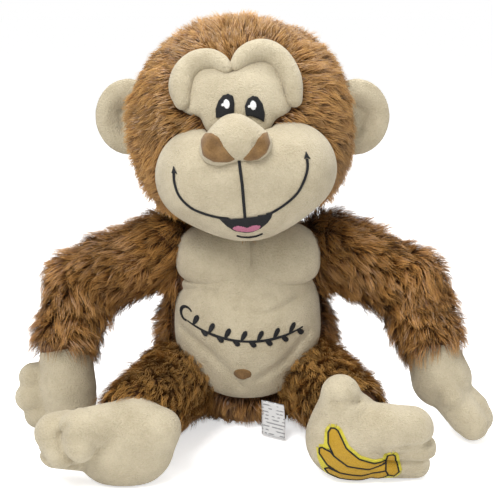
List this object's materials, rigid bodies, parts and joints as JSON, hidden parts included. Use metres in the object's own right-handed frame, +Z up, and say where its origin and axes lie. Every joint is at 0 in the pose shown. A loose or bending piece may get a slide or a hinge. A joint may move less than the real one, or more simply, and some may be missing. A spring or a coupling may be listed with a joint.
{
  "type": "stuffed monkey toy",
  "caption": "Sitting stuffed monkey with long-pile brown covers, cream face, belly, hands and feet, embroidered features and soft sewn joints.",
  "frame": {"origin": "on the floor under the middle of the seat panel, where the sitting toy rests", "axes": "+Z up, the face looks along -Y, the toy's own left side is at +X"},
  "size_m": [0.3463, 0.2101, 0.2981],
  "materials": {
    "brown_fur": "long shiny pile in clumped locks",
    "cream_plush": "short soft nap",
    "polyester_fill": "loose fibre",
    "bead_bag": "plain woven bag of small plastic beads",
    "tan_plush": "short soft nap",
    "black_thread": "satin stitch, slight shine",
    "seam_thread": "twisted sewing thread",
    "white_thread": "satin stitch, slight shine",
    "pink_thread": "satin stitch, slight shine",
    "label_satin": "smooth woven tape",
    "yellow_thread": "satin stitch, slight shine"
  },
  "bodies": {
    "torso": {"torso_cover": "brown_fur", "torso_stuffing": "polyester_fill", "bean_bag": "bead_bag", "seat_panel": "brown_fur", "chest_panel_left": "cream_plush", "chest_panel_right": "cream_plush", "belly_panel": "cream_plush", "navel_patch": "tan_plush", "belly_motif": "black_thread"},
    "label": {"care_label": "label_satin"},
    "neck_core": {"neck_stuffing": "polyester_fill"},
    "neck_ring": {"neck_stitching": "seam_thread"},
    "head": {"head_cover": "brown_fur", "head_stuffing": "polyester_fill", "forehead_panel": "cream_plush", "brow_left": "cream_plush", "brow_right": "cream_plush", "muzzle_cover": "cream_plush", "muzzle_stuffing": "polyester_fill", "nose_pad": "cream_plush", "nostril_left": "tan_plush", "nostril_right": "tan_plush", "eye_left": "black_thread", "eye_right": "black_thread", "eye_glints": "white_thread", "smile_line": "black_thread", "philtrum_line": "black_thread", "mouth_patch": "black_thread", "tongue_patch": "pink_thread", "chin_line": "black_thread"},
    "ear_left": {"ear_left": "cream_plush"},
    "ear_right": {"ear_right": "cream_plush"},
    "shoulder_ring_left": {"shoulder_stitching_left": "seam_thread"},
    "upper_arm_left": {"upper_sleeve_left": "brown_fur", "upper_stuffing_left": "polyester_fill"},
    "forearm_left": {"forearm_sleeve_left": "brown_fur", "forearm_stuffing_left": "polyester_fill"},
    "hand_left": {"hand_left": "cream_plush", "hand_stuffing_left": "polyester_fill"},
    "hip_ring_left": {"hip_stitching_left": "seam_thread"},
    "leg_left": {"leg_sleeve_left": "brown_fur", "leg_stuffing_left": "polyester_fill"},
    "foot_left": {"foot_left": "cream_plush", "foot_stuffing_left": "polyester_fill", "banana_patch": "yellow_thread"},
    "shoulder_ring_right": {"shoulder_stitching_right": "seam_thread"},
    "upper_arm_right": {"upper_sleeve_right": "brown_fur", "upper_stuffing_right": "polyester_fill"},
    "forearm_right": {"forearm_sleeve_right": "brown_fur", "forearm_stuffing_right": "polyester_fill"},
    "hand_right": {"hand_right": "cream_plush", "hand_stuffing_right": "polyester_fill"},
    "hip_ring_right": {"hip_stitching_right": "seam_thread"},
    "leg_right": {"leg_sleeve_right": "brown_fur", "leg_stuffing_right": "polyester_fill"},
    "foot_right": {"foot_right": "cream_plush", "foot_stuffing_right": "polyester_fill"}
  },
  "joints": [
    {"name": "neck_turn", "type": "hinge", "parent": "torso", "child": "neck_core", "pos_m": [-0.001, 0, 0.146], "axis": [0, 0, 1], "range_deg": [-35, 35], "stiffness_Nm_per_rad": 1},
    {"name": "neck_nod", "type": "hinge", "parent": "neck_core", "child": "neck_ring", "pos_m": [-0.001, 0, 0.146], "axis": [1, 0, 0], "range_deg": [-15, 8], "stiffness_Nm_per_rad": 1.6},
    {"name": "neck_tilt", "type": "hinge", "parent": "neck_ring", "child": "head", "pos_m": [-0.001, 0, 0.146], "axis": [0, 1, 0], "range_deg": [-9, 9], "stiffness_Nm_per_rad": 1.6},
    {"name": "ear_fold_left", "type": "hinge", "parent": "head", "child": "ear_left", "pos_m": [0.075, 0.006, 0.227], "axis": [0, 0, -1], "range_deg": [-20, 20], "stiffness_Nm_per_rad": 0.004},
    {"name": "shoulder_swing_left", "type": "hinge", "parent": "torso", "child": "shoulder_ring_left", "pos_m": [0.063, 0.002, 0.128], "axis": [0, 0, -1], "range_deg": [-30, 12], "stiffness_Nm_per_rad": 0.6},
    {"name": "shoulder_lift_left", "type": "hinge", "parent": "shoulder_ring_left", "child": "upper_arm_left", "pos_m": [0.063, 0.002, 0.128], "axis": [-0.225, -0.9744, 0], "range_deg": [-6, 38], "stiffness_Nm_per_rad": 0.6},
    {"name": "elbow_bend_left", "type": "hinge", "parent": "upper_arm_left", "child": "forearm_left", "pos_m": [0.12263, -0.01177, 0.10328], "axis": [-0.0159, 0.8568, -0.5153], "range_deg": [-20, 15], "stiffness_Nm_per_rad": 0.3},
    {"name": "wrist_bend_left", "type": "hinge", "parent": "forearm_left", "child": "hand_left", "pos_m": [0.1368, -0.03843, 0.05851], "axis": [0.3293, -0.7618, 0.5579], "range_deg": [-18, 18], "stiffness_Nm_per_rad": 0.1},
    {"name": "hip_spread_left", "type": "hinge", "parent": "torso", "child": "hip_ring_left", "pos_m": [0.05, -0.028, 0.035], "axis": [0, 0, 1], "range_deg": [-4, 18], "stiffness_Nm_per_rad": 0.8},
    {"name": "hip_lift_left", "type": "hinge", "parent": "hip_ring_left", "child": "leg_left", "pos_m": [0.05, -0.028, 0.035], "axis": [-0.9659, -0.2588, 0], "range_deg": [-3, 12], "stiffness_Nm_per_rad": 0.8},
    {"name": "ankle_bend_left", "type": "hinge", "parent": "leg_left", "child": "foot_left", "pos_m": [0.06807, -0.09545, 0.03988], "axis": [-0.9659, -0.2588, 0], "range_deg": [-12, 12], "stiffness_Nm_per_rad": 0.3},
    {"name": "ear_fold_right", "type": "hinge", "parent": "head", "child": "ear_right", "pos_m": [-0.085, 0.006, 0.227], "axis": [0, 0, 1], "range_deg": [-20, 20], "stiffness_Nm_per_rad": 0.004},
    {"name": "shoulder_swing_right", "type": "hinge", "parent": "torso", "child": "shoulder_ring_right", "pos_m": [-0.063, 0.002, 0.128], "axis": [0, 0, 1], "range_deg": [-30, 12], "stiffness_Nm_per_rad": 0.6},
    {"name": "shoulder_lift_right", "type": "hinge", "parent": "shoulder_ring_right", "child": "upper_arm_right", "pos_m": [-0.063, 0.002, 0.128], "axis": [-0.2079, 0.9781, 0], "range_deg": [-6, 38], "stiffness_Nm_per_rad": 0.6},
    {"name": "elbow_bend_right", "type": "hinge", "parent": "upper_arm_right", "child": "forearm_right", "pos_m": [-0.12286, -0.01072, 0.10328], "axis": [-0.0356, -0.8509, 0.5242], "range_deg": [-20, 15], "stiffness_Nm_per_rad": 0.3},
    {"name": "wrist_bend_right", "type": "hinge", "parent": "forearm_right", "child": "hand_right", "pos_m": [-0.1334, -0.03818, 0.05799], "axis": [0.8501, 0.3387, -0.4032], "range_deg": [-18, 18], "stiffness_Nm_per_rad": 0.1},
    {"name": "hip_spread_right", "type": "hinge", "parent": "torso", "child": "hip_ring_right", "pos_m": [-0.05, -0.028, 0.035], "axis": [0, 0, -1], "range_deg": [-4, 18], "stiffness_Nm_per_rad": 0.8},
    {"name": "hip_lift_right", "type": "hinge", "parent": "hip_ring_right", "child": "leg_right", "pos_m": [-0.05, -0.028, 0.035], "axis": [-0.9511, 0.309, 0], "range_deg": [-3, 12], "stiffness_Nm_per_rad": 0.8},
    {"name": "ankle_bend_right", "type": "hinge", "parent": "leg_right", "child": "foot_right", "pos_m": [-0.07409, -0.10214, 0.03772], "axis": [-0.9511, 0.309, 0], "range_deg": [-12, 12], "stiffness_Nm_per_rad": 0.3},
    {"name": "label_flap", "type": "hinge", "parent": "torso", "child": "label", "pos_m": [0.017, -0.053, 0.027], "axis": [0.8716, -0.4903, 0], "range_deg": [-25, 5], "stiffness_Nm_per_rad": 0.0004}
  ]
}
